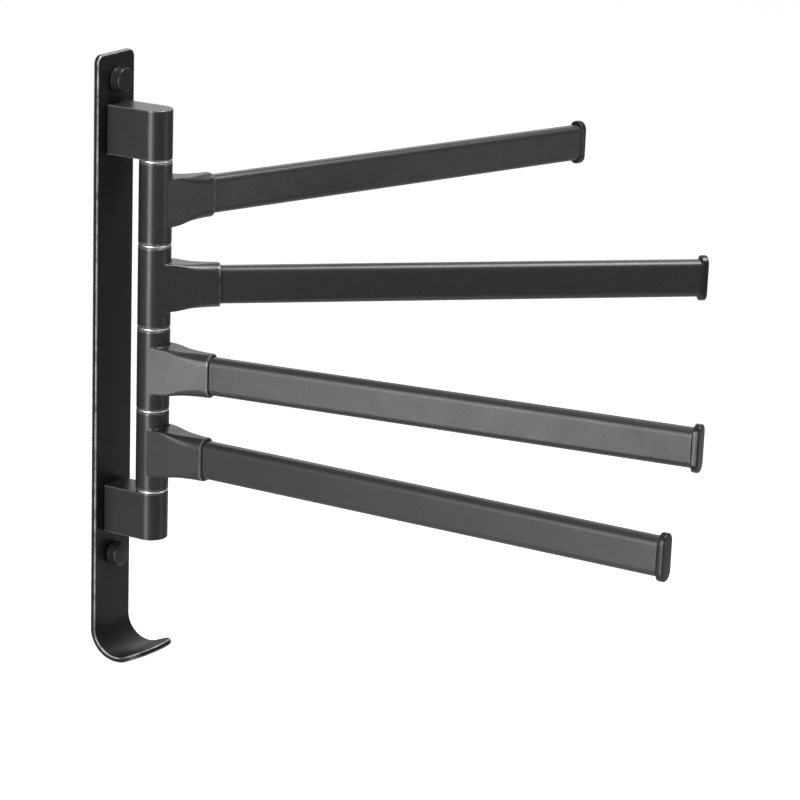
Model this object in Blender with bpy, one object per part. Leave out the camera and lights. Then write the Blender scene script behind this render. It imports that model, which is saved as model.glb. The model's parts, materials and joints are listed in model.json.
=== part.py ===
"""Wall-mounted towel rack: four flat bars that swing on one vertical axle.

Frame: the plate's back lies in the plane y = 0, the rack reaches out along -Y, +Z is up, and the
origin is on the plate's back, level with the middle washer of the column. Everything is in metres.
"""

from math import cos, pi, radians, sin

import bmesh
import bpy
from mathutils import Matrix, Vector

# --- Driving dimensions (metres, degrees) ---------------------------------------------------------

GAP = 0.0003                    # clearance kept between neighbouring pieces
PAST = 0.001                    # how far a cutter runs out of what it cuts

PLATE_WIDTH = 0.0350
PLATE_THICKNESS = 0.0032
PLATE_TOP = 0.1516
PLATE_CORNER = 0.0046           # radius of the two upper corners
HOOK_START = -0.1810            # height at which the strip starts to bend
HOOK_RADIUS = 0.016             # bend radius at the middle of the thickness
HOOK_TURN = radians(115)        # how far the strip turns before its round end
WALL_HOLE_RADIUS = 0.0024

AXIS_OUT = 0.0297               # distance of the axle from the wall
AXLE_RADIUS = 0.004
HUB_RADIUS = 0.0093
HUB_PITCH = 0.0476
WASHER_THICKNESS = 0.001
WASHER_RADIUS = 0.0091
BUSH_RADIUS = 0.0055

BLOCK_HEIGHT = 0.0278
BLOCK_EDGE = 0.0005             # chamfer round the top and bottom of a block
AXLE_IN_BLOCK = 0.017           # how deep the axle stands in each block

ARM_ANGLES = (68.9, 40.3, 7.9, 0.3)   # arms 1 to 4 at rest, from straight out, positive to +X
ARM_REACH = 0.3190              # from the axle to the outer face of the end cap

BAR_HEIGHT = 0.0216
BAR_WIDTH = 0.010
BAR_CORNER = 0.004
BAR_WALL = 0.0012

SLEEVE_END = 0.0365             # from the axle to the mouth of the sleeve
SOCKET_START = 0.014            # from the axle to the bottom of the socket
SLEEVE_ROOT_SIZE = (0.0184, 0.0272, 0.0009)    # width, height and corner radius at the column
SLEEVE_MOUTH_SIZE = (0.0130, 0.0250, 0.0055)   # the same at the mouth

CAP_HEIGHT = 0.0266
CAP_WIDTH = 0.011
CAP_CORNER = 0.0053
CAP_FLANGE = 0.0041
CAP_EDGE = 0.0009
PLUG_LENGTH = 0.011
PLUG_WALL = 0.0013

SEAT_FRONT = 0.0050             # front of the seat's rim, from the wall
SEAT_EDGE = 0.0003
BOSS_FRONT = 0.0080             # front of the threaded boss that the cover screws on to
BOSS_OUTER = 0.0052
BOSS_INNER = 0.0042
COVER_RADIUS = 0.0068
COVER_FRONT = 0.0097
COVER_EDGE = 0.0009
COVER_HEIGHTS = (0.1368, -0.1393)

SCREW_HEAD = 0.0038             # radii of every cross-head screw
SCREW_SHANK = 0.002
BLOCK_SCREW_LENGTH = 0.0125     # head included
BLOCK_SCREW_TIP = 0.0008
BLOCK_SCREW_SPREAD = 0.007      # the two screws of a block stand this far above and below its middle
PAN_HEAD_HEIGHT = 0.0021
PAN_HEAD_EDGE = 0.0007
WALL_SCREW_DEPTH = 0.0094       # how far the wall screws stand out behind: 15 mm under the head
WALL_SCREW_POINT = 0.0035
CROSS_WIDTH = 0.0036            # cross recess: length and breadth of a slot, and its depth
CROSS_BREADTH = 0.0009
CROSS_DEPTH = 0.0012

GRUB_PLACE = 0.025              # grub screw, from the axle along the arm
GRUB_RADIUS = 0.00175
GRUB_TIP = 0.0006
GRUB_IN = 0.0010                # how far it stands through the wall of the bar

ROUND_STEPS = 28                # sides of the column, the covers and the washers
SMALL_STEPS = 16                # sides of screws and small holes
CORNER_STEPS = 4                # facets in each corner of a bar, sleeve or cap

# --- Worked out from them -------------------------------------------------------------------------

HUB_HEIGHT = HUB_PITCH - WASHER_THICKNESS - 2 * GAP
BLOCK_NEAR = 2 * HUB_PITCH + WASHER_THICKNESS / 2 + GAP   # block face next to the column
BLOCK_MIDDLE = BLOCK_NEAR + BLOCK_HEIGHT / 2
AXLE_HALF = BLOCK_NEAR + AXLE_IN_BLOCK
BLOCK_SCREW_HEIGHTS = [side * BLOCK_MIDDLE + spread for side in (1, -1)
                       for spread in (BLOCK_SCREW_SPREAD, -BLOCK_SCREW_SPREAD)]
ON_AXLE = Matrix.Translation((0, -AXIS_OUT, 0))
ON_GRUB = Matrix.Translation((GRUB_PLACE, 0, 0))


# --- Scene and materials --------------------------------------------------------------------------

def clear_scene():
    for thing in list(bpy.data.objects):
        bpy.data.objects.remove(thing, do_unlink=True)


def make_material(name, color, roughness, metallic):
    material = bpy.data.materials.new(name)
    material.use_nodes = True
    shader = material.node_tree.nodes["Principled BSDF"]
    shader.inputs["Base Color"].default_value = (*color, 1.0)
    shader.inputs["Roughness"].default_value = roughness
    shader.inputs["Metallic"].default_value = metallic
    return material


def add_object(name, mesh, material=None, parent=None):
    piece = bpy.data.objects.new(name, mesh)
    bpy.context.scene.collection.objects.link(piece)
    if material is not None:
        mesh.materials.append(material)
    piece.parent = parent
    return piece


def add_cutter(name, mesh, parent=None):
    """A guide solid that is only there for a Boolean."""
    cutter = add_object(name, mesh, parent=parent)
    cutter.hide_render = True
    cutter.display_type = "WIRE"
    return cutter


def boolean(piece, cutter, operation="DIFFERENCE"):
    modifier = piece.modifiers.new(operation.title(), "BOOLEAN")
    modifier.operation = operation
    modifier.solver = "EXACT"
    modifier.object = cutter


# --- Mesh helpers ---------------------------------------------------------------------------------

def finish_mesh(name, bm):
    """Close a bmesh into a named mesh: doubles merged, faces out, round parts smooth."""
    bmesh.ops.remove_doubles(bm, verts=bm.verts, dist=1e-6)
    bmesh.ops.recalc_face_normals(bm, faces=bm.faces)
    mesh = bpy.data.meshes.new(name)
    bm.to_mesh(mesh)
    bm.free()
    mesh.shade_smooth()
    mesh.set_sharp_from_angle(angle=radians(35))
    return mesh


def add_loft(bm, sections, tube=False):
    """Join rings of equally many points with quads. The ends are closed, or joined up for a tube."""
    rings = [[bm.verts.new(point) for point in section] for section in sections]
    onward = rings[1:] + rings[:1] if tube else rings[1:]
    count = len(rings[0])
    for near, far in zip(rings, onward):
        for k in range(count):
            after = (k + 1) % count
            bm.faces.new((near[k], near[after], far[after], far[k]))
    if not tube:
        bm.faces.new(rings[0])
        bm.faces.new(rings[-1])


def lofted_mesh(name, sections, tube=False):
    bm = bmesh.new()
    add_loft(bm, sections, tube)
    return finish_mesh(name, bm)


def add_turned(bm, profile, matrix=Matrix.Identity(4), steps=ROUND_STEPS):
    """Spin a profile of (radius, height) points round the local Z axis, then place the result.

    The profile either starts and ends on the axis, or is a closed loop beside it.
    """
    before = set(bm.verts)
    verts = [bm.verts.new((radius, 0.0, height)) for radius, height in profile]
    edges = [bm.edges.new(pair) for pair in zip(verts, verts[1:])]
    if profile[0][0] > 0.0:
        edges.append(bm.edges.new((verts[-1], verts[0])))
    bmesh.ops.spin(bm, geom=verts + edges, cent=(0, 0, 0), axis=(0, 0, 1), angle=2 * pi,
                   steps=steps, use_merge=True)
    turned = [vert for vert in bm.verts if vert not in before]
    bmesh.ops.transform(bm, matrix=matrix, verts=turned)


def turned_mesh(name, profile, matrix=Matrix.Identity(4), steps=ROUND_STEPS):
    bm = bmesh.new()
    add_turned(bm, profile, matrix, steps)
    return finish_mesh(name, bm)


def disc_profile(radius, low, high):
    return [(0.0, low), (radius, low), (radius, high), (0.0, high)]


def ring_profile(inner, outer, low, high):
    return [(outer, high), (outer, low), (inner, low), (inner, high)]


def arm_section(reach, width, height, corner):
    """A rounded rectangle across the arm, whose local frame points along +X."""
    points = []
    for quarter, (side, up) in enumerate(((1, 1), (-1, 1), (-1, -1), (1, -1))):
        for k in range(CORNER_STEPS + 1):
            angle = pi / 2 * (quarter + k / CORNER_STEPS)
            points.append((
                reach,
                side * (width / 2 - corner) + corner * cos(angle),
                up * (height / 2 - corner) + corner * sin(angle),
            ))
    return points


def ease(value, start, end):
    """Rises smoothly from 0 to 1 as the value goes from start to end."""
    part = min(max((value - start) / (end - start), 0.0), 1.0)
    return part * part * (3 - 2 * part)


def away_from_wall(height, out=0.0):
    """Stands a turned piece on the wall: its local +Z points out along -Y, at this height."""
    return Matrix.Translation((0, -out, height)) @ Matrix.Rotation(pi / 2, 4, "X")


# --- Wall plate -----------------------------------------------------------------------------------

def plate_stations():
    """Rows across the strip, from its top to the tip: (half width, centre, normal to the room)."""
    half = PLATE_WIDTH / 2
    middle = PLATE_THICKNESS / 2
    room = Vector((0, -1, 0))
    rows = []
    corner_steps = 5
    for k in range(corner_steps + 1):
        angle = pi / 2 * k / corner_steps
        drop = PLATE_CORNER * (1 - cos(angle))
        inset = PLATE_CORNER * (1 - sin(angle))
        rows.append((half - inset, Vector((0, -middle, PLATE_TOP - drop)), room))
    bend_steps = 14
    bend_centre = Vector((0, -middle - HOOK_RADIUS, HOOK_START))
    for k in range(bend_steps + 1):
        angle = HOOK_TURN * k / bend_steps
        inward = Vector((0, -cos(angle), sin(angle)))
        rows.append((half, bend_centre - HOOK_RADIUS * inward, inward))
    end_centre, end_normal = rows[-1][1:]
    onward = Vector((0, -sin(HOOK_TURN), -cos(HOOK_TURN)))
    tip_steps = 8
    last_turn = 0.49 * pi           # the round end stops just short of a point
    for k in range(1, tip_steps + 1):
        angle = last_turn * k / tip_steps
        rows.append((half * cos(angle), end_centre + onward * half * sin(angle), end_normal))
    return rows


def make_wall_plate(material):
    sections = []
    for half, centre, normal in plate_stations():
        side = Vector((half, 0, 0))
        lift = normal * PLATE_THICKNESS / 2
        sections.append([
            centre + side + lift, centre - side + lift, centre - side - lift, centre + side - lift,
        ])
    plate = add_object("wall_plate", lofted_mesh("wall_plate", sections), material)
    boolean(plate, make_plate_holes())


def make_plate_holes():
    """Cutter for the two plain wall-screw holes and the four countersunk block-screw holes."""
    bm = bmesh.new()
    for height in COVER_HEIGHTS:
        add_turned(bm, disc_profile(WALL_HOLE_RADIUS, -PAST, PLATE_THICKNESS + PAST),
                   away_from_wall(height), SMALL_STEPS)
    mouth = SCREW_HEAD + 3 * GAP
    shank = SCREW_SHANK + GAP
    countersink = [(0.0, -PAST), (mouth + PAST, -PAST), (shank, mouth - shank),
                   (shank, PLATE_THICKNESS + PAST), (0.0, PLATE_THICKNESS + PAST)]
    for height in BLOCK_SCREW_HEIGHTS:
        add_turned(bm, countersink, away_from_wall(height), SMALL_STEPS)
    return add_cutter("cut_plate_holes", finish_mesh("cut_plate_holes", bm))


# --- Blocks, axle and washers ---------------------------------------------------------------------

def block_section(level, inset):
    """Plan of a block at one level: a square back by the plate and a round nose about the axle."""
    radius = HUB_RADIUS - inset
    back = -(PLATE_THICKNESS + GAP)
    nose_steps = ROUND_STEPS // 2
    points = [(radius, back, level), (-radius, back, level)]
    for k in range(nose_steps + 1):
        angle = pi + pi * k / nose_steps
        points.append((radius * cos(angle), -AXIS_OUT + radius * sin(angle), level))
    return points


def make_block(name, middle, material):
    top = middle + BLOCK_HEIGHT / 2
    bottom = middle - BLOCK_HEIGHT / 2
    sections = [block_section(bottom, BLOCK_EDGE), block_section(bottom + BLOCK_EDGE, 0),
                block_section(top - BLOCK_EDGE, 0), block_section(top, BLOCK_EDGE)]
    block = add_object(name, lofted_mesh(name, sections), material)
    boolean(block, make_block_bores(name, middle))


def make_block_bores(name, middle):
    """Cutter for the axle's blind bore and the two screw holes in the back of a block."""
    low, high = BLOCK_NEAR - PAST, AXLE_HALF + GAP
    if middle < 0:
        low, high = -high, -low
    bm = bmesh.new()
    add_turned(bm, disc_profile(AXLE_RADIUS + GAP, low, high), ON_AXLE, SMALL_STEPS)
    for height in (middle + BLOCK_SCREW_SPREAD, middle - BLOCK_SCREW_SPREAD):
        add_turned(bm, disc_profile(SCREW_SHANK + GAP, PAST, BLOCK_SCREW_LENGTH + 2 * GAP),
                   away_from_wall(height), SMALL_STEPS)
    return add_cutter("cut_" + name, finish_mesh("cut_" + name, bm))


def make_axle(material):
    mesh = turned_mesh("axle", disc_profile(AXLE_RADIUS, -AXLE_HALF, AXLE_HALF), ON_AXLE,
                       SMALL_STEPS)
    add_object("axle", mesh, material)


def make_washers(material):
    half = WASHER_THICKNESS / 2
    mesh = turned_mesh("washer", ring_profile(AXLE_RADIUS + GAP, WASHER_RADIUS, -half, half))
    mesh.materials.append(material)
    for k in range(len(ARM_ANGLES) + 1):
        washer = add_object(f"washer_{k + 1}", mesh)
        washer.location = (0, -AXIS_OUT, (2 - k) * HUB_PITCH)


# --- Screws and covers ----------------------------------------------------------------------------

def cut_cross_recess(screw, place):
    """Cuts a cross drive into a screw. The place's local z = 0 is the head's top, +Z into it."""
    size = Matrix.Diagonal((CROSS_WIDTH, CROSS_BREADTH, CROSS_DEPTH + PAST, 1.0))
    middle = Matrix.Translation((0, 0, (CROSS_DEPTH - PAST) / 2))
    for k, turn in enumerate((0.0, pi / 2)):
        name = f"cut_{screw.name}_{k + 1}"
        bm = bmesh.new()
        bmesh.ops.create_cube(bm, size=1.0,
                              matrix=place @ middle @ Matrix.Rotation(turn, 4, "Z") @ size)
        boolean(screw, add_cutter(name, finish_mesh(name, bm)))


def make_block_screws(material):
    """Four countersunk screws put in from behind the plate."""
    head = GAP
    neck = head + SCREW_HEAD - SCREW_SHANK
    end = BLOCK_SCREW_LENGTH
    profile = [(0.0, head), (SCREW_HEAD, head), (SCREW_SHANK, neck),
               (SCREW_SHANK, end - BLOCK_SCREW_TIP), (SCREW_SHANK - BLOCK_SCREW_TIP, end),
               (0.0, end)]
    for k, height in enumerate(BLOCK_SCREW_HEIGHTS):
        name = f"block_screw_{k + 1}"
        mesh = turned_mesh(name, profile, away_from_wall(height), SMALL_STEPS)
        screw = add_object(name, mesh, material)
        cut_cross_recess(screw, away_from_wall(height, head))


def make_wall_screws(material):
    """Two pan-head screws that pass through the seats and the plate into the wall."""
    under = SEAT_FRONT + 2 * GAP
    top = under + PAN_HEAD_HEIGHT
    profile = [(0.0, -WALL_SCREW_DEPTH), (SCREW_SHANK, WALL_SCREW_POINT - WALL_SCREW_DEPTH),
               (SCREW_SHANK, under), (SCREW_HEAD, under), (SCREW_HEAD, top - PAN_HEAD_EDGE),
               (SCREW_HEAD - PAN_HEAD_EDGE, top), (0.0, top)]
    into_head = Matrix.Rotation(pi, 4, "X")
    for place, height in zip(("upper", "lower"), COVER_HEIGHTS):
        name = "wall_screw_" + place
        mesh = turned_mesh(name, profile, away_from_wall(height), SMALL_STEPS)
        screw = add_object(name, mesh, material)
        cut_cross_recess(screw, away_from_wall(height, top) @ into_head)


def make_seats_and_covers(material):
    """Each cover is a shallow cup that screws on to a boss on its seat."""
    back = PLATE_THICKNESS + GAP
    floor = SEAT_FRONT + GAP
    seat = [(WALL_HOLE_RADIUS, back), (COVER_RADIUS, back),
            (COVER_RADIUS, SEAT_FRONT - SEAT_EDGE), (COVER_RADIUS - SEAT_EDGE, SEAT_FRONT),
            (BOSS_OUTER, SEAT_FRONT), (BOSS_OUTER, BOSS_FRONT), (BOSS_INNER, BOSS_FRONT),
            (BOSS_INNER, floor), (WALL_HOLE_RADIUS, floor)]
    cup = [(0.0, COVER_FRONT), (COVER_RADIUS - COVER_EDGE, COVER_FRONT),
           (COVER_RADIUS, COVER_FRONT - COVER_EDGE), (COVER_RADIUS, floor),
           (BOSS_OUTER + GAP, floor), (BOSS_OUTER + GAP, BOSS_FRONT + GAP),
           (0.0, BOSS_FRONT + GAP)]
    for place, height in zip(("upper", "lower"), COVER_HEIGHTS):
        for name, profile in (("cover_seat_" + place, seat), ("screw_cover_" + place, cup)):
            add_object(name, turned_mesh(name, profile, away_from_wall(height)), material)


# --- Arms -----------------------------------------------------------------------------------------

def sleeve_section(reach):
    """The sleeve's outline: it narrows evenly, and slopes in and rounds off in smooth curves."""
    parts = (reach / SLEEVE_END, ease(reach, 0.009, 0.022), ease(reach, 0.006, 0.032))
    size = [root + part * (mouth - root)
            for part, root, mouth in zip(parts, SLEEVE_ROOT_SIZE, SLEEVE_MOUTH_SIZE)]
    return arm_section(reach, *size)


def make_hub(number, parent, material):
    half = HUB_HEIGHT / 2
    name = f"arm_hub_{number}"
    hub = add_object(name, turned_mesh(name, disc_profile(HUB_RADIUS, -half, half)), material, parent)
    reaches = (0.0, 0.009, 0.0125, 0.016, 0.020, 0.026, SLEEVE_END)
    sleeve = lofted_mesh("sleeve", [sleeve_section(reach) for reach in reaches])
    boolean(hub, add_cutter(f"add_sleeve_{number}", sleeve, parent), "UNION")
    boolean(hub, make_hub_hollows(number, parent))
    boolean(hub, make_grub_hole(f"cut_sleeve_{number}", parent, -SLEEVE_MOUTH_SIZE[1] / 2 - PAST,
                                -BAR_HEIGHT / 2))


def make_hub_hollows(number, parent):
    """Cutter for the bush's bore and the bar's socket."""
    half = HUB_HEIGHT / 2 + PAST
    socket = (BAR_WIDTH + 2 * GAP, BAR_HEIGHT + 2 * GAP, BAR_CORNER + GAP)
    bm = bmesh.new()
    add_turned(bm, disc_profile(BUSH_RADIUS + GAP, -half, half), steps=SMALL_STEPS)
    add_loft(bm, [arm_section(reach, *socket) for reach in (SOCKET_START, SLEEVE_END + PAST)])
    return add_cutter(f"cut_hub_{number}", finish_mesh("cut_hub", bm), parent)


def make_grub_hole(name, parent, low, high):
    """Cutter for the grub screw's hole, between two heights in the arm's own frame."""
    mesh = turned_mesh(name, disc_profile(GRUB_RADIUS + GAP, low, high), ON_GRUB, SMALL_STEPS)
    return add_cutter(name, mesh, parent)


def make_bush(number, parent, material):
    half = HUB_HEIGHT / 2 - GAP
    profile = ring_profile(AXLE_RADIUS + GAP, BUSH_RADIUS, -half, half)
    mesh = turned_mesh("bush", profile, steps=SMALL_STEPS)
    add_object(f"hub_bush_{number}", mesh, material, parent)


def make_bar(number, parent, material):
    """A flat-oval tube, open at both ends, with a hole below for the grub screw."""
    start = SOCKET_START + GAP
    end = ARM_REACH - CAP_FLANGE - GAP
    outer = (BAR_WIDTH, BAR_HEIGHT, BAR_CORNER)
    inner = (BAR_WIDTH - 2 * BAR_WALL, BAR_HEIGHT - 2 * BAR_WALL, BAR_CORNER - BAR_WALL)
    sections = [arm_section(start, *outer), arm_section(end, *outer),
                arm_section(end, *inner), arm_section(start, *inner)]
    bar = add_object(f"arm_bar_{number}", lofted_mesh("bar", sections, tube=True), material, parent)
    boolean(bar, make_grub_hole(f"cut_bar_{number}", parent, -BAR_HEIGHT / 2 - PAST,
                                -inner[1] / 2 + PAST))


def make_grub_screw(number, parent, material):
    """It stands flush in the underside of the sleeve and holds the bar by its lower wall."""
    low = -SLEEVE_MOUTH_SIZE[1] / 2 + GAP
    high = -BAR_HEIGHT / 2 + BAR_WALL + GRUB_IN
    profile = [(0.0, low), (GRUB_RADIUS, low), (GRUB_RADIUS, high - GRUB_TIP),
               (GRUB_RADIUS - GRUB_TIP, high), (0.0, high)]
    mesh = turned_mesh("grub_screw", profile, ON_GRUB, SMALL_STEPS)
    add_object(f"bar_screw_{number}", mesh, material, parent)


def make_end_cap(number, parent, material):
    """A flange across the bar's end, with a hollow plug inside the tube."""
    inside = ARM_REACH - CAP_FLANGE
    fit = BAR_WALL + GAP
    plug = (BAR_WIDTH - 2 * fit, BAR_HEIGHT - 2 * fit, BAR_CORNER - fit)
    hollow = (plug[0] - 2 * PLUG_WALL, plug[1] - 2 * PLUG_WALL, plug[2] - PLUG_WALL)
    flange = (CAP_WIDTH, CAP_HEIGHT, CAP_CORNER)
    face = (CAP_WIDTH - 2 * CAP_EDGE, CAP_HEIGHT - 2 * CAP_EDGE, CAP_CORNER - CAP_EDGE)
    sections = [
        arm_section(inside - GAP, *hollow),
        arm_section(inside - PLUG_LENGTH, *hollow),
        arm_section(inside - PLUG_LENGTH, *plug),
        arm_section(inside, *plug),
        arm_section(inside, *flange),
        arm_section(ARM_REACH - CAP_EDGE, *flange),
        arm_section(ARM_REACH, *face),
    ]
    add_object(f"end_cap_{number}", lofted_mesh("end_cap", sections), material, parent)


def make_arm(number, angle, level, materials):
    """One arm. Its parent empty stands on the axle, its X axis along the bar."""
    pivot = bpy.data.objects.new(f"arm_{number}_pivot", None)
    bpy.context.scene.collection.objects.link(pivot)
    pivot.location = (0, -AXIS_OUT, level)
    pivot.rotation_euler = (0, 0, radians(angle - 90))
    make_hub(number, pivot, materials["black_metal"])
    make_bush(number, pivot, materials["nylon"])
    make_bar(number, pivot, materials["black_metal"])
    make_grub_screw(number, pivot, materials["steel"])
    make_end_cap(number, pivot, materials["black_plastic"])


# --- Assembly -------------------------------------------------------------------------------------

def main():
    clear_scene()
    materials = {
        "black_metal": make_material("black_metal", (0.035, 0.036, 0.038), 0.45, 0.6),
        "black_plastic": make_material("black_plastic", (0.02, 0.02, 0.022), 0.25, 0.0),
        "bright_metal": make_material("bright_metal", (0.8, 0.8, 0.82), 0.2, 1.0),
        "steel": make_material("steel", (0.55, 0.55, 0.56), 0.35, 1.0),
        "nylon": make_material("nylon", (0.8, 0.79, 0.75), 0.5, 0.0),
    }
    make_wall_plate(materials["black_metal"])
    make_block("upper_block", BLOCK_MIDDLE, materials["black_metal"])
    make_block("lower_block", -BLOCK_MIDDLE, materials["black_metal"])
    make_axle(materials["steel"])
    make_washers(materials["bright_metal"])
    make_block_screws(materials["steel"])
    make_wall_screws(materials["steel"])
    make_seats_and_covers(materials["black_plastic"])
    for k, angle in enumerate(ARM_ANGLES):
        make_arm(k + 1, angle, (1.5 - k) * HUB_PITCH, materials)


main()
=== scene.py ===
# %% [markdown]
# # A swing-arm towel rack
#
# This rack is a flat black strip screwed to a wall. Two blocks hold an upright axle in front of the
# strip, and four hubs turn on that axle with bright washers between them. Each hub carries a flat
# tube that ends in a moulded cap, and the foot of the strip is bent up into a hook for a robe.
#
# The engineering model is loaded first. It has every piece at its true place and size, but its
# round parts are made of flat facets. The lesson replaces what can be seen by smooth surfaces,
# worked out with numpy, which keep to the same places and swing with the same bodies.

# %% Load the engineering model
import json
from math import cos, pi, radians, sin

import bmesh
import bpy
import numpy as np
from mathutils import Matrix, Vector


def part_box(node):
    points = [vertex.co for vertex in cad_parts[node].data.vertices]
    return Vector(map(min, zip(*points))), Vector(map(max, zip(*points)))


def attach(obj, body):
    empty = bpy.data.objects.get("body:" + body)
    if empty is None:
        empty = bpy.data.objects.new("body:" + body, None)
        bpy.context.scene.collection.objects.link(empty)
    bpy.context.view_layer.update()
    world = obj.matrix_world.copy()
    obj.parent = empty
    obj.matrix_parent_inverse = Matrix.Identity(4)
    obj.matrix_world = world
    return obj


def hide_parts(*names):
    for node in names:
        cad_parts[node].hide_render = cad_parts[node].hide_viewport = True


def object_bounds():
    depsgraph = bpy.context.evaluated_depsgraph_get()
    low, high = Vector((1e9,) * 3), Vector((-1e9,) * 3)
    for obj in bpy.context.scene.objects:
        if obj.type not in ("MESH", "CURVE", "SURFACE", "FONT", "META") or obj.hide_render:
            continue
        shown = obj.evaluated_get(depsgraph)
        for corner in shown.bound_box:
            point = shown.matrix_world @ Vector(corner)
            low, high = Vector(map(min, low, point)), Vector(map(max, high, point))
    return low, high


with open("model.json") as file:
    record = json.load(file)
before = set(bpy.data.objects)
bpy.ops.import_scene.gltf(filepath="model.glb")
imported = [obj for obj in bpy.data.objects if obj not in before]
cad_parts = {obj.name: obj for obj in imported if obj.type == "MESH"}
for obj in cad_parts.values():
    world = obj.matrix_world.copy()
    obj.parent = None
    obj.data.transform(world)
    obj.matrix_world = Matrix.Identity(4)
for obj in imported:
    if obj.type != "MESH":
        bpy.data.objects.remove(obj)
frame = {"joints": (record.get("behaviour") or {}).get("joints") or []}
cad_low, cad_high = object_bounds()
print("engineering model, in mm:", [round(1000 * side) for side in cad_high - cad_low])

# %% [markdown]
# ## What the model already says
#
# Sizes are read from the loaded pieces wherever a box can give them. A bar lies along the wall at
# the end of its swing, 90 degrees from straight out, so the end of each hinge's range also tells
# how far that bar is turned at rest.

# %% Read places and sizes from the model
GAP = 0.0003                     # air left between neighbouring pieces

plate_low, plate_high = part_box("wall_plate")
washer_low, washer_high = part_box("washer_3")
hub_low, hub_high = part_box("arm_hub_1")
seat_low, seat_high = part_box("cover_seat_upper")
cover_low, cover_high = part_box("screw_cover_upper")

hinges = [joint for joint in frame["joints"] if joint["type"] == "hinge"]
axis_out = -hinges[0]["pos_m"][1]
hub_half = (hub_high.z - hub_low.z) / 2
arms = []
for number, hinge in enumerate(hinges, start=1):
    arms.append({
        "number": number,
        "level": hinge["pos_m"][2],
        "angle": radians(90 - hinge["range_deg"][1]),
        "body": hinge["child"],
    })
    print(hinge["child"], "rests", round(90 - hinge["range_deg"][1], 1), "degrees from straight out")

# %% [markdown]
# ## Surfaces from grids of points
#
# A surface can be written as a function of two parameters, and numpy can work out the whole grid
# of its points at once. A piece is a list of such grids, called patches here. Where two patches
# share a border their points fall on one another, so one weld closes the piece, and a count of the
# open edges shows whether it worked.

# %% Turn patches into a closed mesh
def grid(x, y, z):
    """Points from three arrays or numbers whose shapes fit together."""
    return np.stack(np.broadcast_arrays(x, y, z), axis=-1)


def patch_quads(patch, first):
    """Corner numbers of the quads between the points of a grid, numbered row by row from first."""
    rows, columns = patch.shape[:2]
    number = first + np.arange(rows * columns).reshape(rows, columns)
    corners = (number[:-1, :-1], number[:-1, 1:], number[1:, 1:], number[1:, :-1])
    return np.stack(corners, axis=-1).reshape(-1, 4)


def weld(mesh):
    """Join points that fall together, drop faces without area, and turn all faces outwards."""
    bm = bmesh.new()
    bm.from_mesh(mesh)
    bmesh.ops.remove_doubles(bm, verts=bm.verts, dist=2e-6)
    bmesh.ops.dissolve_degenerate(bm, edges=bm.edges, dist=1e-7)
    bmesh.ops.recalc_face_normals(bm, faces=bm.faces)
    open_edges = sum(1 for edge in bm.edges if not edge.is_manifold)
    bm.to_mesh(mesh)
    bm.free()
    return open_edges


def add_piece(name, patches):
    """One object from a list of patches, each an array of rows x columns x 3 coordinates."""
    firsts = np.cumsum([0] + [patch.shape[0] * patch.shape[1] for patch in patches])
    points = np.concatenate([patch.reshape(-1, 3) for patch in patches])
    quads = np.concatenate([patch_quads(p, first) for p, first in zip(patches, firsts)])
    mesh = bpy.data.meshes.new(name)
    mesh.from_pydata(points.tolist(), [], quads.tolist())
    open_edges = weld(mesh)
    piece = bpy.data.objects.new(name, mesh)
    bpy.context.scene.collection.objects.link(piece)
    print(f"{name}: {len(mesh.polygons)} faces, {open_edges} open edges")
    return piece


def closed(ring):
    """Repeat the first point after the last, so that a patch runs all the way round."""
    return np.concatenate([ring, ring[:1]])

# %% [markdown]
# ## How sharp is the surface here?
#
# Finishes rub through first where a surface turns sharply, and there the black metal is also given a
# painted highlight. Between two neighbouring points, the turn of the normal divided by the distance is
# the curvature along that edge. Its average round a point is kept on the mesh as an attribute, which the
# materials read later.

# %% Shade a piece and measure its edges
SHARP_FROM = 250.0               # curvature, in 1/m, where an edge starts to count
SHARP_FULL = 600.0               # mean curvature on a rounding of about a millimetre


def measure_edges(mesh):
    """Attribute 'edge': mean over a point's edges of (n2 - n1).(p2 - p1) / |p2 - p1|^2, from 0 to 1."""
    count = len(mesh.vertices)
    ends = np.empty(2 * len(mesh.edges), dtype=np.int32)
    mesh.edges.foreach_get("vertices", ends)
    ends = ends.reshape(-1, 2)
    points = np.empty(3 * count)
    mesh.vertices.foreach_get("co", points)
    points = points.reshape(-1, 3)
    normals = np.empty(3 * count)
    mesh.vertex_normals.foreach_get("vector", normals)
    normals = normals.reshape(-1, 3)
    along = points[ends[:, 1]] - points[ends[:, 0]]
    turn = normals[ends[:, 1]] - normals[ends[:, 0]]
    bend = (turn * along).sum(axis=1) / np.maximum((along ** 2).sum(axis=1), 1e-12)
    total = np.bincount(ends.ravel(), weights=np.repeat(bend, 2), minlength=count)
    share = np.bincount(ends.ravel(), minlength=count)
    mean = total / np.maximum(share, 1)
    edge = np.clip((mean - SHARP_FROM) / (SHARP_FULL - SHARP_FROM), 0, 1)
    attribute = mesh.attributes.new("edge", "FLOAT", "POINT")
    attribute.data.foreach_set("value", edge.astype(np.float32))


def finish_piece(piece, body, slot, *nodes):
    """Shade a piece, hang it on its body, and let it stand for its engineering nodes."""
    piece.data.shade_smooth()
    piece.data.set_sharp_from_angle(angle=radians(32))
    measure_edges(piece.data)
    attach(piece, body)
    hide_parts(*nodes)
    return piece

# %% [markdown]
# ## Flat pieces with softened edges
#
# The strip and the blocks are slabs: an outline with a thickness, and edges that are slightly
# round. The edge profile is carried round the outline, and both faces are filled with rows that
# run straight across. A second line just inside each rounding keeps the flat faces truly flat in
# the shading. The outline is only worked out for the right half, because both halves are alike.

# %% Carry an edge profile round an outline
SUPPORT = 0.0004                 # width of the narrow flat beside every rounding


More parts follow.
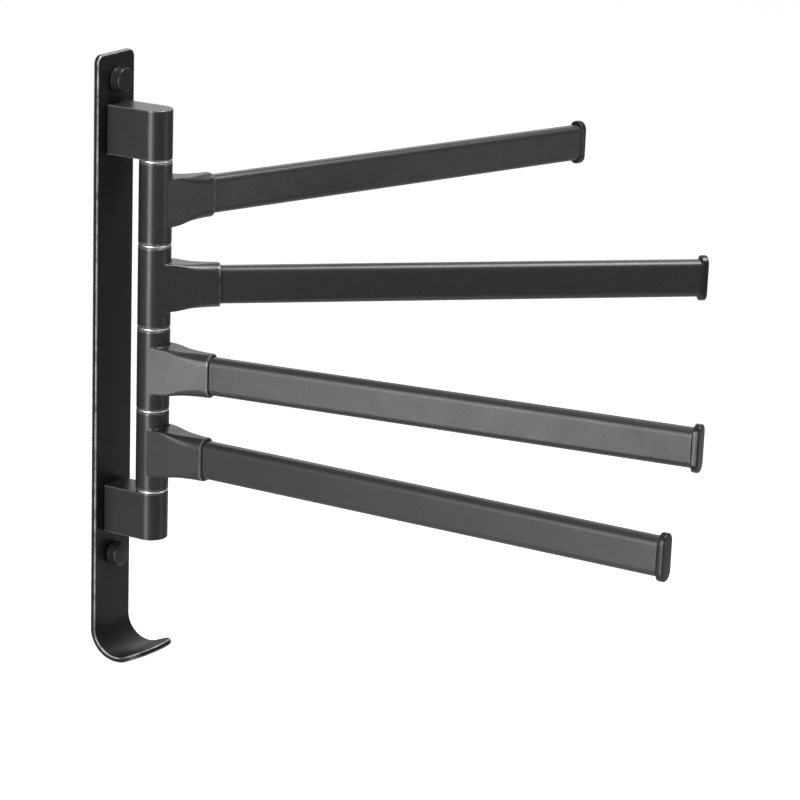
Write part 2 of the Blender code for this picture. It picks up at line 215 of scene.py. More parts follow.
def edge_profile(thickness, rounding, steps=6):
    """Steps over the edge of a slab, as (inset, height): a quarter circle above and one below."""
    turn = np.linspace(0, pi / 2, steps + 1)
    inset = rounding * (1 - np.sin(turn))
    height = thickness / 2 - rounding * (1 - np.cos(turn))
    upper = np.stack([inset, height], axis=1)
    lower = np.stack([inset, -height], axis=1)[::-1]
    face = [[rounding + SUPPORT, thickness / 2]]
    back = [[rounding + SUPPORT, -thickness / 2]]
    level = thickness / 2 - rounding - SUPPORT
    rim = [[0.0, level], [0.0, -level]]
    return np.concatenate([face, upper, rim, lower, back])


def slab_patches(outline, outward, profile):
    """Rim and two faces of a slab. Every point is outline - inset * outward, at the profile's height.

    The outline is an array of (across, along) for the right half, and the third coordinate of the
    result is the height. The left half is its mirror image.
    """
    inset = profile[:, 0][:, None, None]
    right = outline[None] - inset * outward[None]
    left = right[:, ::-1] * np.array([-1.0, 1.0])
    rings = np.concatenate([right, left, right[:, :1]], axis=1)
    height = np.broadcast_to(profile[:, 1][:, None, None], rings.shape[:2] + (1,))
    rim = np.concatenate([rings, height], axis=2)
    last = len(outline)
    faces = []
    for end in (0, -1):
        rows = np.stack([rim[end, :last], rim[end, last:2 * last][::-1]], axis=1)
        faces.append(rows)
    return [rim, *faces]

# %% [markdown]
# ## The wall strip
#
# The strip is one length of flat bar with two rounded corners at its top, a half-round end, and a
# hook bent at its foot. It is worked out flat first, as a maker would cut it. Then every point is
# carried round the bend, where a point closer to the room sits on a tighter circle. The screw
# holes are drilled last with Boolean modifiers, which do what a drill does.

# %% Work out the strip flat, bend it and drill it
strip_width = plate_high.x - plate_low.x
STRIP_THICKNESS = 0.0032
STRIP_CORNER = 0.0046
STRIP_ROUNDING = 0.0009
BEND_START = -0.1810             # height at which the strip starts to bend
BEND_RADIUS = 0.016              # at the middle of the thickness
BEND_TURN = radians(115)
WALL_HOLE_RADIUS = 0.0024
SCREW_HEAD_RADIUS = 0.0038
SCREW_SHANK_RADIUS = 0.002

strip_top = plate_high.z
straight = strip_top - BEND_START
bend_length = BEND_RADIUS * BEND_TURN


def strip_outline():
    """Right half of the strip laid flat: corner arc, straight side, half-round end."""
    half = strip_width / 2
    turn = np.linspace(0, pi / 2, 10)
    corner = np.stack([half - STRIP_CORNER + STRIP_CORNER * np.sin(turn),
                       STRIP_CORNER - STRIP_CORNER * np.cos(turn)], axis=1)
    corner_out = np.stack([np.sin(turn), -np.cos(turn)], axis=1)
    flat = np.linspace(STRIP_CORNER + SUPPORT, straight - SUPPORT, 40)
    bend = straight + np.linspace(0, bend_length, 37)
    along = np.concatenate([flat, bend, [bend[-1] + SUPPORT]])
    side = np.stack([np.full_like(along, half), along], axis=1)
    side_out = np.broadcast_to([1.0, 0.0], side.shape)
    turn = np.linspace(0, pi / 2, 28)
    start = bend[-1] + 2 * SUPPORT
    end = np.stack([half * np.cos(turn), start + (half - 2 * SUPPORT) * np.sin(turn)], axis=1)
    end_out = np.stack([np.cos(turn), np.sin(turn)], axis=1)
    return np.concatenate([corner, side, end]), np.concatenate([corner_out, side_out, end_out])


def bend_strip(flat):
    """Flat (across, along, height) to the room: straight down, round the bend, straight on."""
    across, along, height = flat[..., 0], flat[..., 1], flat[..., 2]
    turn = np.clip((along - straight) / BEND_RADIUS, 0, BEND_TURN)
    before = np.minimum(along - straight, 0)
    after = np.maximum(along - straight - bend_length, 0)
    radius = BEND_RADIUS - height
    centre_y = -STRIP_THICKNESS / 2 - BEND_RADIUS
    y = centre_y + radius * np.cos(turn) - after * np.sin(turn)
    z = BEND_START - radius * np.sin(turn) - after * np.cos(turn) - before
    return grid(across, y, z)


def turned(profile, steps=64):
    """Turn a profile of (radius, height) points once round the z axis."""
    profile = np.asarray(profile, dtype=float)
    angle = np.linspace(0, 2 * pi, steps + 1)
    radius, height = profile[:, 0][:, None], profile[:, 1][:, None]
    return grid(radius * np.cos(angle), radius * np.sin(angle), height)


def out_of_wall(patch, height):
    """Stand a turned patch on the wall: its z axis points into the room, at this height."""
    return grid(patch[..., 0], -patch[..., 2], patch[..., 1] + height)


def drill(piece, cutters):
    """Cut each cutter out of the piece, keep the result, and throw the cutters away."""
    for cutter in cutters:
        modifier = piece.modifiers.new("Drill", "BOOLEAN")
        modifier.object = cutter
        modifier.solver = "EXACT"
    graph = bpy.context.evaluated_depsgraph_get()
    drilled = bpy.data.meshes.new_from_object(piece.evaluated_get(graph))
    piece.modifiers.clear()
    piece.data = drilled
    for cutter in cutters:
        bpy.data.objects.remove(cutter)
    print(f"{piece.name}: drilled {len(cutters)} holes, {len(drilled.polygons)} faces")


def middle_height(node):
    """Height of the middle of an engineering node."""
    low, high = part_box(node)
    return (low.z + high.z) / 2


outline, outward = strip_outline()
profile = edge_profile(STRIP_THICKNESS, STRIP_ROUNDING)
strip = add_piece("strip", [bend_strip(p) for p in slab_patches(outline, outward, profile)])

wall_screw_heights = {place: middle_height("cover_seat_" + place) for place in ("upper", "lower")}
block_screws = [f"block_screw_{k}" for k in (1, 2, 3, 4)]
PAST = 0.001                     # how far a cutter runs out of what it cuts
plain_hole = [(0, -PAST), (WALL_HOLE_RADIUS, -PAST), (WALL_HOLE_RADIUS, STRIP_THICKNESS + PAST),
              (0, STRIP_THICKNESS + PAST)]
mouth = SCREW_HEAD_RADIUS + 2 * GAP
neck = SCREW_SHANK_RADIUS + GAP
countersink = [(0, -PAST), (mouth + PAST, -PAST), (neck, mouth - neck),
               (neck, STRIP_THICKNESS + PAST), (0, STRIP_THICKNESS + PAST)]
cutters = [add_piece("cut", [out_of_wall(turned(plain_hole), height)])
           for height in wall_screw_heights.values()]
cutters += [add_piece("cut", [out_of_wall(turned(countersink), middle_height(node))])
            for node in block_screws]
drill(strip, cutters)
finish_piece(strip, "frame", "black_metal", "wall_plate")

# %% [markdown]
# ## The two blocks
#
# Each block is sawn from an extruded bar: square behind, where it sits on the strip, and round in
# front, where it follows the column. Its edges are only just broken, so they read as fine lines.

# %% Make the blocks
BLOCK_ROUNDING = 0.0005


def block_outline(radius, back, nose):
    """Right half of a block's plan as (across, out from the wall): square back, then a quarter round."""
    turn = np.linspace(0, pi / 2, 24)
    side = np.array([[radius, back], [radius, nose - SUPPORT]])
    side_out = np.array([[1.0, -1.0], [1.0, 0.0]])
    arc = np.stack([radius * np.cos(turn), nose + radius * np.sin(turn)], axis=1)
    arc_out = np.stack([np.cos(turn), np.sin(turn)], axis=1)
    return np.concatenate([side, arc]), np.concatenate([side_out, arc_out])


for name in ("upper_block", "lower_block"):
    low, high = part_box(name)
    outline, outward = block_outline(high.x, -high.y, axis_out)
    patches = []
    for patch in slab_patches(outline, outward, edge_profile(high.z - low.z, BLOCK_ROUNDING)):
        level = patch[..., 2] + (low.z + high.z) / 2
        patches.append(grid(patch[..., 0], -patch[..., 1], level))
    finish_piece(add_piece(name + "_casting", patches), "frame", "black_metal", name)

# %% [markdown]
# ## Turned pieces
#
# Washers, covers and their seats come off a lathe, or from a round mould. Only half a section is
# needed, and it is turned round its axis. Real turned edges are never quite sharp, so every corner
# of the section gets a small arc.

# %% Round the corners of a section
def rounded_section(points, radii, steps=5):
    """A line through the points whose corners are arcs: tangent at r * tan(turn / 2) from the corner."""
    points = np.asarray(points, dtype=float)
    result = [points[:1]]
    for before, corner, after, radius in zip(points, points[1:], points[2:], radii[1:-1]):
        to_before = (before - corner) / np.linalg.norm(before - corner)
        to_after = (after - corner) / np.linalg.norm(after - corner)
        half = np.arccos(np.clip(to_before @ to_after, -1, 1)) / 2
        if radius == 0:
            result.append(corner[None])
            continue
        middle = to_before + to_after
        centre = corner + middle / np.linalg.norm(middle) * radius / np.sin(half)
        start = corner + to_before * radius / np.tan(half) - centre
        end = corner + to_after * radius / np.tan(half) - centre
        sweep = pi - 2 * half
        part = np.linspace(0, sweep, steps + 1)[:, None]
        result.append(centre + (np.sin(sweep - part) * start + np.sin(part) * end) / np.sin(sweep))
    result.append(points[-1:])
    return np.concatenate(result)

# %% [markdown]
# Each section below runs round the solid part of the piece. The outer sizes come from the model.
# The covers are hollow: the seat's boss reaches up into them and carries their thread.

# %% Make the washers, seats and covers
axle_radius = (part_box("axle")[1].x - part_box("axle")[0].x) / 2
washer_radius = (washer_high.x - washer_low.x) / 2
half = (washer_high.z - washer_low.z) / 2
bore = axle_radius + GAP
ring = rounded_section(
    [(bore, 0), (bore, half), (washer_radius, half), (washer_radius, -half), (bore, -half), (bore, 0)],
    [0, 0.0001, 0.0002, 0.0002, 0.0001, 0])
for k in range(1, 6):
    node = f"washer_{k}"
    patch = turned(ring, 96) + np.array([0, -axis_out, middle_height(node)])
    finish_piece(add_piece(f"bright_washer_{k}", [patch]), "frame", "bright_metal", node)

seat_back, seat_front = -seat_high.y, 0.0050     # the rim stands this far out from the wall
boss_front = -seat_low.y
cover_back, cover_front = -cover_high.y, -cover_low.y
cover_radius = cover_high.x
BOSS_OUTER, BOSS_INNER = 0.0052, 0.0042
seat_section = rounded_section(
    [(WALL_HOLE_RADIUS, seat_back), (cover_radius, seat_back), (cover_radius, seat_front),
     (BOSS_OUTER, seat_front), (BOSS_OUTER, boss_front), (BOSS_INNER, boss_front),
     (BOSS_INNER, seat_front + GAP), (WALL_HOLE_RADIUS, seat_front + GAP),
     (WALL_HOLE_RADIUS, seat_back)],
    [0, 0.0001, 0.0004, 0, 0.0002, 0.0002, 0, 0.0001, 0])
COVER_EDGE = 0.0010
COVER_BORE = BOSS_OUTER + GAP
cover_section = rounded_section(
    [(0, cover_front), (cover_radius, cover_front), (cover_radius, cover_back),
     (COVER_BORE, cover_back), (COVER_BORE, boss_front + GAP), (0, boss_front + GAP)],
    [0, COVER_EDGE, 0.0003, 0, 0, 0], steps=8)
for place, height in wall_screw_heights.items():
    seat = add_piece("seat_ring_" + place, [out_of_wall(turned(seat_section), height)])
    finish_piece(seat, "frame", "black_plastic", "cover_seat_" + place)
    cover = add_piece("screw_cap_" + place, [out_of_wall(turned(cover_section), height)])
    finish_piece(cover, "frame", "black_plastic", "screw_cover_" + place)

# %% [markdown]
# ## Screws
#
# The screws show behind the strip. A thread is a cylinder whose radius depends on both parameters:
# it rises and falls once for each pitch along the axis, and the pattern climbs by one pitch for
# each turn. The cross in a head is a depth that depends on how far a point is from two lines.

# %% Make threads and cross recesses
THREAD_PITCH = 0.0018
THREAD_DEPTH = 0.00045
CROSS_HALF = 0.0018
CROSS_HALF_BREADTH = 0.00042
CROSS_DEPTH = 0.0012
CROSS_WALL = 0.00018
SCREW_STEPS = 96
WALL_SCREW_POINT = 0.0035
HEAD_EDGE = 0.0002               # the rim of a head is rounded by this much


def thread(radius, low, high, pitch, depth, taper):
    """A thread from low to high: radius - depth * wave(z / pitch - angle / 2 pi), pointed below."""
    rows = int((high - low) / pitch * 12)
    z = np.linspace(low, high, rows + 1)[:, None]
    angle = np.linspace(0, 2 * pi, SCREW_STEPS + 1)[None]
    phase = (z / pitch - angle / (2 * pi)) % 1.0
    wave = 1 - np.clip(2.4 * np.abs(2 * phase - 1) - 0.4, 0, 1)
    point = np.clip((z - low) / taper, 0, 1)
    fade = np.clip((high - z) / pitch, 0, 1)
    r = (radius - depth * wave * fade) * point
    return grid(r * np.cos(angle), r * np.sin(angle), z)


def cross_head(radius, top, direction):
    """A flat head with a cross pressed in: full depth inside both arms, eased at their walls."""
    r = np.linspace(0, radius, 22)[:, None]
    angle = np.linspace(0, 2 * pi, SCREW_STEPS + 1)[None]
    x, y = r * np.cos(angle), r * np.sin(angle)
    arms_in = []
    for along, across in ((x, y), (y, x)):
        end = np.clip((CROSS_HALF - np.abs(along)) / CROSS_WALL, 0, 1)
        side = np.clip((CROSS_HALF_BREADTH - np.abs(across)) / CROSS_WALL + 0.5, 0, 1)
        arms_in.append(end * side)
    depth = CROSS_DEPTH * np.maximum(*arms_in)
    return grid(x, y, top + direction * depth)


wall_screw_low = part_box("wall_screw_upper")[1].y
wall_screw_top = -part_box("wall_screw_upper")[0].y
PAN_HEIGHT = 0.0021
PAN_ROUNDING = 0.0009
under = wall_screw_top - PAN_HEIGHT
pan_section = rounded_section(
    [(SCREW_SHANK_RADIUS, 0), (SCREW_SHANK_RADIUS, under), (SCREW_HEAD_RADIUS, under),
     (SCREW_HEAD_RADIUS, wall_screw_top), (SCREW_HEAD_RADIUS - PAN_ROUNDING, wall_screw_top)],
    [0, 0, HEAD_EDGE, PAN_ROUNDING * 0.99, 0])
for place, height in wall_screw_heights.items():
    patches = [thread(SCREW_SHANK_RADIUS, -wall_screw_low, 0.0, THREAD_PITCH, THREAD_DEPTH,
                      WALL_SCREW_POINT),
               turned(pan_section, SCREW_STEPS),
               cross_head(SCREW_HEAD_RADIUS - PAN_ROUNDING, wall_screw_top, -1)]
    piece = add_piece("wall_screw_" + place + "_threaded", [out_of_wall(p, height) for p in patches])
    finish_piece(piece, "frame", "steel", "wall_screw_" + place)

block_screw_low = -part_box("block_screw_1")[1].y
block_screw_end = -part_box("block_screw_1")[0].y
neck = block_screw_low + SCREW_HEAD_RADIUS - SCREW_SHANK_RADIUS
TIP = 0.0008
cone_section = rounded_section(
    [(SCREW_HEAD_RADIUS - HEAD_EDGE, block_screw_low), (SCREW_HEAD_RADIUS, block_screw_low + HEAD_EDGE),
     (SCREW_SHANK_RADIUS, neck), (SCREW_SHANK_RADIUS, block_screw_end - TIP),
     (SCREW_SHANK_RADIUS - TIP, block_screw_end), (0, block_screw_end)],
    [0, 0, 0.0003, 0.0001, 0.0001, 0])
for node in block_screws:
    patches = [cross_head(SCREW_HEAD_RADIUS - HEAD_EDGE, block_screw_low, 1),
               turned(cone_section, SCREW_STEPS)]
    piece = add_piece(node + "_crosshead", [out_of_wall(p, middle_height(node)) for p in patches])
    finish_piece(piece, "frame", "steel", node)

# %% [markdown]
# ## Round an arm
#
# Sleeve, bar and cap all have a rounded rectangle for a section. One list of stations round such a
# section serves them all: each station knows its corner or flat, and the direction it faces. Given
# half width, half height and corner radius, the points are corner centre + radius * direction. As
# every section has the same stations, any two can be joined.

# %% Stations round a rounded rectangle
CORNER_STEPS = 8


def section_stations():
    """Rows of (corner across, corner up, direction across, direction up), once round a section.

    The upper part comes first, from one side to the other, then a side, the lower part and a side.
    """
    arc = np.linspace(0, pi / 2, CORNER_STEPS + 1)
    spread = np.sin(np.linspace(-1, 1, 25) * radians(80)) / np.sin(radians(80))
    ones, zeros = np.ones_like(arc), np.zeros(len(spread) - 2)
    flat = -spread[1:-1]
    upper = np.concatenate([
        np.stack([ones, ones, np.cos(arc), np.sin(arc)], axis=1),
        np.stack([flat, zeros + 1, zeros, zeros + 1], axis=1),
        np.stack([-ones, ones, -np.sin(arc), np.cos(arc)], axis=1),
    ])
    rise = spread[1:-1]
    side = np.stack([zeros - 1, -rise, zeros - 1, zeros], axis=1)
    return np.concatenate([upper, side, -upper, -side]), len(upper), len(side)


stations, upper_count, side_count = section_stations()


def section(reach, half_width, half_height, corner):
    """Points of one section: corner centre + corner radius * direction, for arrays or numbers."""
    across = stations[:, 0] * (half_width - corner) + corner * stations[:, 2]
    up = stations[:, 1] * (half_height - corner) + corner * stations[:, 3]
    return grid(reach, across, up)


def on_arm(patch, arm):
    """Carry a patch from the arm's own frame, x along the bar, to its place at rest."""
    turn = arm["angle"] - pi / 2
    x = patch[..., 0] * cos(turn) - patch[..., 1] * sin(turn)
    y = patch[..., 0] * sin(turn) + patch[..., 1] * cos(turn)
    return grid(x, y - axis_out, patch[..., 2] + arm["level"])


print(len(stations), "stations round a section")

# %% [markdown]
# ## The hub casting
#
# Hub and sleeve are one casting, so they have to be one skin. The sleeve is a bundle of lines, one
# for each station, that run out along the arm. Each line starts where it meets the column's
# cylinder, at x = sqrt(R^2 - y^2), which gives the curved root. Close to the column the top and
# bottom flare out along a quarter circle, as the fillet of a mould does. The cylinder's wall is
# then laid in columns that start from the same root points, so the skin has no seam.

# %% Work out the casting
HUB_RADIUS = 0.0093
HUB_ROUNDING = 0.0004
BUSH_BORE = 0.0058
SLEEVE_END = 0.0365
SLEEVE_ROOT = (0.0184, 0.0272, 0.0009)      # width, height and corner radius at the column
SLEEVE_MOUTH = (0.0130, 0.0250, 0.0055)     # the same at the mouth
MOUTH_ROUNDING = 0.0004
FILLET = 0.0013
SOCKET = (0.0053, 0.0111, 0.0043)           # half width, half height and corner of the socket
SOCKET_START = 0.014


def ease(value, start, end):
    """Rises smoothly from 0 to 1 between start and end."""
    part = np.clip((value - start) / (end - start), 0, 1)
    return part * part * (3 - 2 * part)


def sleeve_size(reach):
    """Half width, half height and corner radius of the sleeve: narrows evenly, the rest eases."""
    parts = (reach / SLEEVE_END, ease(reach, 0.009, 0.022), ease(reach, 0.006, 0.032))
    width, height, corner = (root + part * (end - root)
                             for part, root, end in zip(parts, SLEEVE_ROOT, SLEEVE_MOUTH))
    return width / 2, height / 2, corner


def sleeve_skin():
    """Lines from the cylinder to the mouth. Rows crowd towards the root, where the fillet is."""
    root = np.full(len(stations), HUB_RADIUS)
    for _ in range(20):
        across = section(root, *sleeve_size(root))[:, 1]
        root = np.sqrt(np.maximum(HUB_RADIUS ** 2 - across ** 2, 0))
    part = np.linspace(0, 1, 40)[:, None] ** 2
    reach = root + part * (SLEEVE_END - MOUTH_ROUNDING - root)
    skin = section(reach, *sleeve_size(reach))
    away = np.clip(np.hypot(skin[..., 0], skin[..., 1]) - HUB_RADIUS, 0, FILLET)
    flare = FILLET - np.sqrt(FILLET ** 2 - (FILLET - away) ** 2)
    skin[..., 2] += stations[:, 3] * flare
    return skin


def hub_wall(root):
    """The cylinder round the sleeve's root: above it, below it, and all the way round the back."""
    rows = np.linspace(0, 1, 7)[:, None]
    top = hub_half - HUB_ROUNDING
    upper = root[:upper_count]
    lower = root[upper_count + side_count:2 * upper_count + side_count]
    patches = []
    for edge, level in ((upper, top), (lower, -top)):
        columns = np.broadcast_to(edge, (len(rows), *edge.shape)).copy()
        columns[..., 2] = edge[:, 2] + rows * (level - edge[:, 2])
        patches.append(columns)
    side = root[upper_count:upper_count + side_count]
    start, end = upper[-1], lower[0]
    up = start[2] + rows[:, 0] * (top - start[2])
    down = end[2] + rows[:, 0] * (-top - end[2])
    heights = np.concatenate([up[::-1], side[:, 2], down])
    begin = np.arctan2(start[1], start[0])
    angle = np.linspace(begin, -begin - 2 * pi, 49)
    x, y = HUB_RADIUS * np.cos(angle), HUB_RADIUS * np.sin(angle)
    patches.append(grid(x, y, heights[:, None]))
    front = np.arctan2(upper[:, 1], upper[:, 0])
    return patches, np.concatenate([front, angle[1:]])


def hub_ends(angles):
    """Over the rim, across the end face, down the bore and back out at the other end."""
    top = hub_half
    line = rounded_section(
        [(HUB_RADIUS, top - HUB_ROUNDING), (HUB_RADIUS, top), (BUSH_BORE, top), (BUSH_BORE, -top),
         (HUB_RADIUS, -top), (HUB_RADIUS, HUB_ROUNDING - top)],
        [0, HUB_ROUNDING * 0.999, 0.0002, 0.0002, HUB_ROUNDING * 0.999, 0])
    radius, height = line[:, 0][:, None], line[:, 1][:, None]
    return grid(radius * np.cos(angles), radius * np.sin(angles), height)


def sleeve_mouth():
    """Round the mouth's edge, across its face and down to the bottom of the socket."""
    turn = np.linspace(0, pi / 2, 5)
    width, height, corner = sleeve_size(np.float64(SLEEVE_END))
    rings = []
    for step in turn:
        inset = MOUTH_ROUNDING * (1 - cos(step))
        reach = SLEEVE_END - MOUTH_ROUNDING * (1 - sin(step))
        rings.append(section(reach, width - inset, height - inset, corner - inset))
    rings.append(section(SLEEVE_END, *SOCKET))
    rings.append(section(SOCKET_START, *SOCKET))
    rings.append(section(SOCKET_START, 0, 0, 0))
    return np.stack(rings)


skin = sleeve_skin()
wall, angles = hub_wall(skin[0])
mouth_rings = sleeve_mouth()
last = skin[-1:]
join = np.concatenate([last, mouth_rings[:1]])
hub_patches = [skin, join, mouth_rings]
hub_patches = [np.concatenate([p, p[:, :1]], axis=1) for p in hub_patches] + wall + [hub_ends(angles)]

# %% [markdown]
# The same patches are carried to each arm's level and turned to its direction. A drill then
# opens the hole for the screw that will hold the bar, from below, where it stays out of sight.

# %% Cast the four hubs and drill them
GRUB_PLACE = 0.025               # from the axle along the arm
GRUB_RADIUS = 0.00175


def grub_hole(arm, low, high):
    """A round cutter between two heights in the arm's own frame."""
    radius = GRUB_RADIUS + GAP
    round_hole = turned([(0, low), (radius, low), (radius, high), (0, high)], 48)
    return add_piece("cut", [on_arm(round_hole + np.array([GRUB_PLACE, 0, 0]), arm)])


for arm in arms:
    number = arm["number"]
    hub = add_piece(f"hub_casting_{number}", [on_arm(patch, arm) for patch in hub_patches])
    drill(hub, [grub_hole(arm, -SLEEVE_MOUTH[1] / 2 - PAST, -SOCKET[1] + PAST)])
    finish_piece(hub, arm["body"], "black_metal", f"arm_hub_{number}")

# %% [markdown]
# ## Bars, caps and grub screws
#
# A bar is a flat tube, so its skin runs along the outside, over the cut end and back along the
# inside. Extra sections beside each end keep the long faces flat in the shading.

# %% Make the bars
BAR = (0.005, 0.0108, 0.004)                # half width, half height and corner radius
BAR_WALL = 0.0012
ARM_REACH = 0.3190                          # from the axle to the outer face of the cap
CAP_FLANGE = 0.0041
bar_start = SOCKET_START + GAP
bar_end = ARM_REACH - CAP_FLANGE - GAP
inside_bar = tuple(size - BAR_WALL for size in BAR)
BAR_EDGE = 0.0002
cut_edge = tuple(size - BAR_EDGE for size in BAR)
straight_end = bar_end - BAR_EDGE
outside = (bar_start, SLEEVE_END - SUPPORT, SLEEVE_END, SLEEVE_END + SUPPORT,
           straight_end - 2 * SUPPORT, straight_end - SUPPORT, straight_end)
bar_rings = [section(reach, *BAR) for reach in outside]
bar_rings += [section(bar_end, *cut_edge), section(bar_end, *inside_bar),
              section(bar_start, *inside_bar), section(bar_start, *BAR)]
bar_patch = np.stack([closed(ring) for ring in bar_rings])

# %% [markdown]
# The cap is moulded with a hollow plug that grips inside the tube, and a flange that overlaps it
# a little all round. Its end face is faintly crowned, as a moulded face is.

# %% Make the caps
CAP = (0.0055, 0.0133, 0.0053)
CAP_OUTER_ROUNDING = 0.0009
CAP_INNER_ROUNDING = 0.0005
CAP_CROWN = 0.00015                         # the end face swells by this much
PLUG_LENGTH = 0.011
PLUG_WALL = 0.0013
flange_start = ARM_REACH - CAP_FLANGE


def cap_rings():
    """Out of the plug's hollow, over the plug, round the flange's two edges and over the end face."""
    plug = tuple(size - BAR_WALL - GAP for size in BAR)
    hollow = tuple(size - PLUG_WALL for size in plug)
    rings = [section(flange_start - GAP, 0, 0, 0), section(flange_start - GAP, *hollow),
             section(flange_start - PLUG_LENGTH, *hollow), section(flange_start - PLUG_LENGTH, *plug),
             section(flange_start, *plug)]
    for step in np.linspace(0, pi / 2, 6):
        inset = CAP_INNER_ROUNDING * (1 - sin(step))
        reach = flange_start + CAP_INNER_ROUNDING * (1 - cos(step))
        rings.append(section(reach, *(size - inset for size in CAP)))
    edge = ARM_REACH - CAP_CROWN
    for step in np.linspace(0, pi / 2, 9):
        inset = CAP_OUTER_ROUNDING * (1 - cos(step))
        reach = edge - CAP_OUTER_ROUNDING * (1 - sin(step))
        rings.append(section(reach, *(size - inset for size in CAP)))
    for part in (0.92, 0.7, 0.45, 0.2, 0.0):
        size = [part * (side - CAP_OUTER_ROUNDING) for side in CAP]
        rings.append(section(edge + CAP_CROWN * (1 - part ** 2), *size))
    return rings


cap_patch = np.stack([closed(ring) for ring in cap_rings()])

# %% [markdown]
# A small screw below each sleeve holds the bar by its lower wall. It is turned by a six-sided key.

# %% Make the grub screws
HEX_HALF = 0.0009
HEX_DEPTH = 0.0016


def grub_screw():
    """A set screw: a six-sided hole in its lower face, a short thread, and a chamfered tip."""
    low = -SLEEVE_MOUTH[1] / 2 + GAP
    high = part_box("bar_screw_1")[1].z - arms[0]["level"]
    angle = np.linspace(0, 2 * pi, 49)
    to_flat = HEX_HALF / np.cos((angle + pi / 6) % (pi / 3) - pi / 6)
    circle = np.full_like(angle, GRUB_RADIUS)
    steps = [(0 * angle, low + HEX_DEPTH), (to_flat, low + HEX_DEPTH), (to_flat, low),
             (circle - 0.0003, low), (circle, low + 0.0003), (circle, high - 0.0006),
             (circle - 0.0006, high), (0 * angle, high)]
    rows = [np.stack([GRUB_PLACE + r * np.cos(angle), r * np.sin(angle), 0 * angle + z], axis=1)
            for r, z in steps]
    return np.stack(rows)


for arm in arms:
    number, body = arm["number"], arm["body"]
    bar = add_piece(f"flat_bar_{number}", [on_arm(bar_patch, arm)])
    drill(bar, [grub_hole(arm, -BAR[1] - PAST, -inside_bar[1] + PAST / 2)])
    finish_piece(bar, body, "black_metal", f"arm_bar_{number}")
    cap = add_piece(f"moulded_cap_{number}", [on_arm(cap_patch, arm)])
    finish_piece(cap, body, "black_plastic", f"end_cap_{number}")
    grub = add_piece(f"grub_screw_{number}", [on_arm(grub_screw(), arm)])
    finish_piece(grub, body, "steel", f"bar_screw_{number}")

# %% [markdown]
# ## Finishes as shader node groups
#
# The metal is blasted before it is blackened, so it has a fine grain everywhere. Grain, rubbed edges
# with a painted highlight, dust and finger marks turn up in several materials, so each is a node group
# with named inputs and outputs. A group only puts out values, and the Principled shader stays in the
# material.

# %% Small helpers for shader nodes
def start_group(name, inputs, outputs):
    """An empty group. Inputs are (name, socket type, default), outputs are names of values."""
    group = bpy.data.node_groups.new(name, "ShaderNodeTree")
    for label, kind, default in inputs:
        socket = group.interface.new_socket(label, in_out="INPUT", socket_type=kind)
        if default is not None:
            socket.default_value = default
    for label in outputs:
        group.interface.new_socket(label, in_out="OUTPUT", socket_type="NodeSocketFloat")
    return group, group.nodes.new("NodeGroupInput"), group.nodes.new("NodeGroupOutput")


def feed(tree, socket, value):
    """Link a socket to another node's output, or set it to a plain number."""
    if isinstance(value, bpy.types.NodeSocket):
        tree.links.new(value, socket)
    else:
        socket.default_value = value


def calculate(tree, operation, a, b=0.0, clamp=False):
    """One Math node on two values, each a socket or a number."""
    node = tree.nodes.new("ShaderNodeMath")
    node.operation = operation
    node.use_clamp = clamp
    feed(tree, node.inputs[0], a)
    feed(tree, node.inputs[1], b)
    return node.outputs[0]


def noise(tree, position, size, detail=2.0):
    """Noise whose lumps measure about size metres: the position is divided by the size."""
    scale = tree.nodes.new("ShaderNodeVectorMath")
    scale.operation = "SCALE"
    feed(tree, scale.inputs[0], position)
    feed(tree, scale.inputs["Scale"], calculate(tree, "DIVIDE", 1.0, size))
    texture = tree.nodes.new("ShaderNodeTexNoise")
    texture.inputs["Scale"].default_value = 1.0
    texture.inputs["Detail"].default_value = detail
    tree.links.new(scale.outputs[0], texture.inputs["Vector"])
    return texture.outputs[0]


def stretch(tree, value, low, high, new_low=0.0, new_high=1.0):
    """Map a value from low..high to new_low..new_high, and no further."""
    node = tree.nodes.new("ShaderNodeMapRange")
    for socket, number in zip(node.inputs[:5], (value, low, high, new_low, new_high)):
        feed(tree, socket, number)
    return node.outputs[0]

# %% [markdown]
# Each group turns a position in metres into one or more values from 0 to 1. A material decides
# what such a value does: it may mix two colors, change the roughness or tilt the normal.

# %% Build the groups
def grain_group():
    """Blasted grain: a fine height, and a slow mottle where the blasting bit more or less."""
    group, given, result = start_group(
        "Blasted grain",
        [("Position", "NodeSocketVector", None), ("Grain Size", "NodeSocketFloat", 0.0004)],
        ["Height", "Speckle", "Mottle"])
    position, size = given.outputs["Position"], given.outputs["Grain Size"]
    fine = noise(group, position, size)
    coarse = noise(group, position, calculate(group, "MULTIPLY", size, 3.0))
    broad = noise(group, position, calculate(group, "MULTIPLY", size, 40.0), 3.0)
    height = calculate(group, "ADD", calculate(group, "MULTIPLY", fine, 0.7),
                       calculate(group, "MULTIPLY", coarse, 0.3))
    group.links.new(height, result.inputs["Height"])
    group.links.new(stretch(group, coarse, 0.3, 0.7), result.inputs["Speckle"])
    group.links.new(stretch(group, broad, 0.35, 0.65), result.inputs["Mottle"])
    return group


def wear_and_highlight_group():
    """Mask for rubbed edges and a painted edge highlight: the edge measure, eaten into by noise so that
    both come and go.
    """
    group, given, result = start_group(
        "Worn edges",
        [("Position", "NodeSocketVector", None), ("Edge", "NodeSocketFloat", 0.0),
         ("Patch Size", "NodeSocketFloat", 0.006), ("Amount", "NodeSocketFloat", 0.5)],
        ["Mask"])
    lumps = noise(group, given.outputs["Position"], given.outputs["Patch Size"], 4.0)
    eaten = calculate(group, "SUBTRACT", given.outputs["Edge"],
                      stretch(group, lumps, 0.3, 0.7, 0.15, 0.65))
    open_edge = stretch(group, eaten, 0.0, 0.5)
    mask = calculate(group, "MULTIPLY", open_edge, given.outputs["Amount"], clamp=True)
    group.links.new(mask, result.inputs["Mask"])
    return group


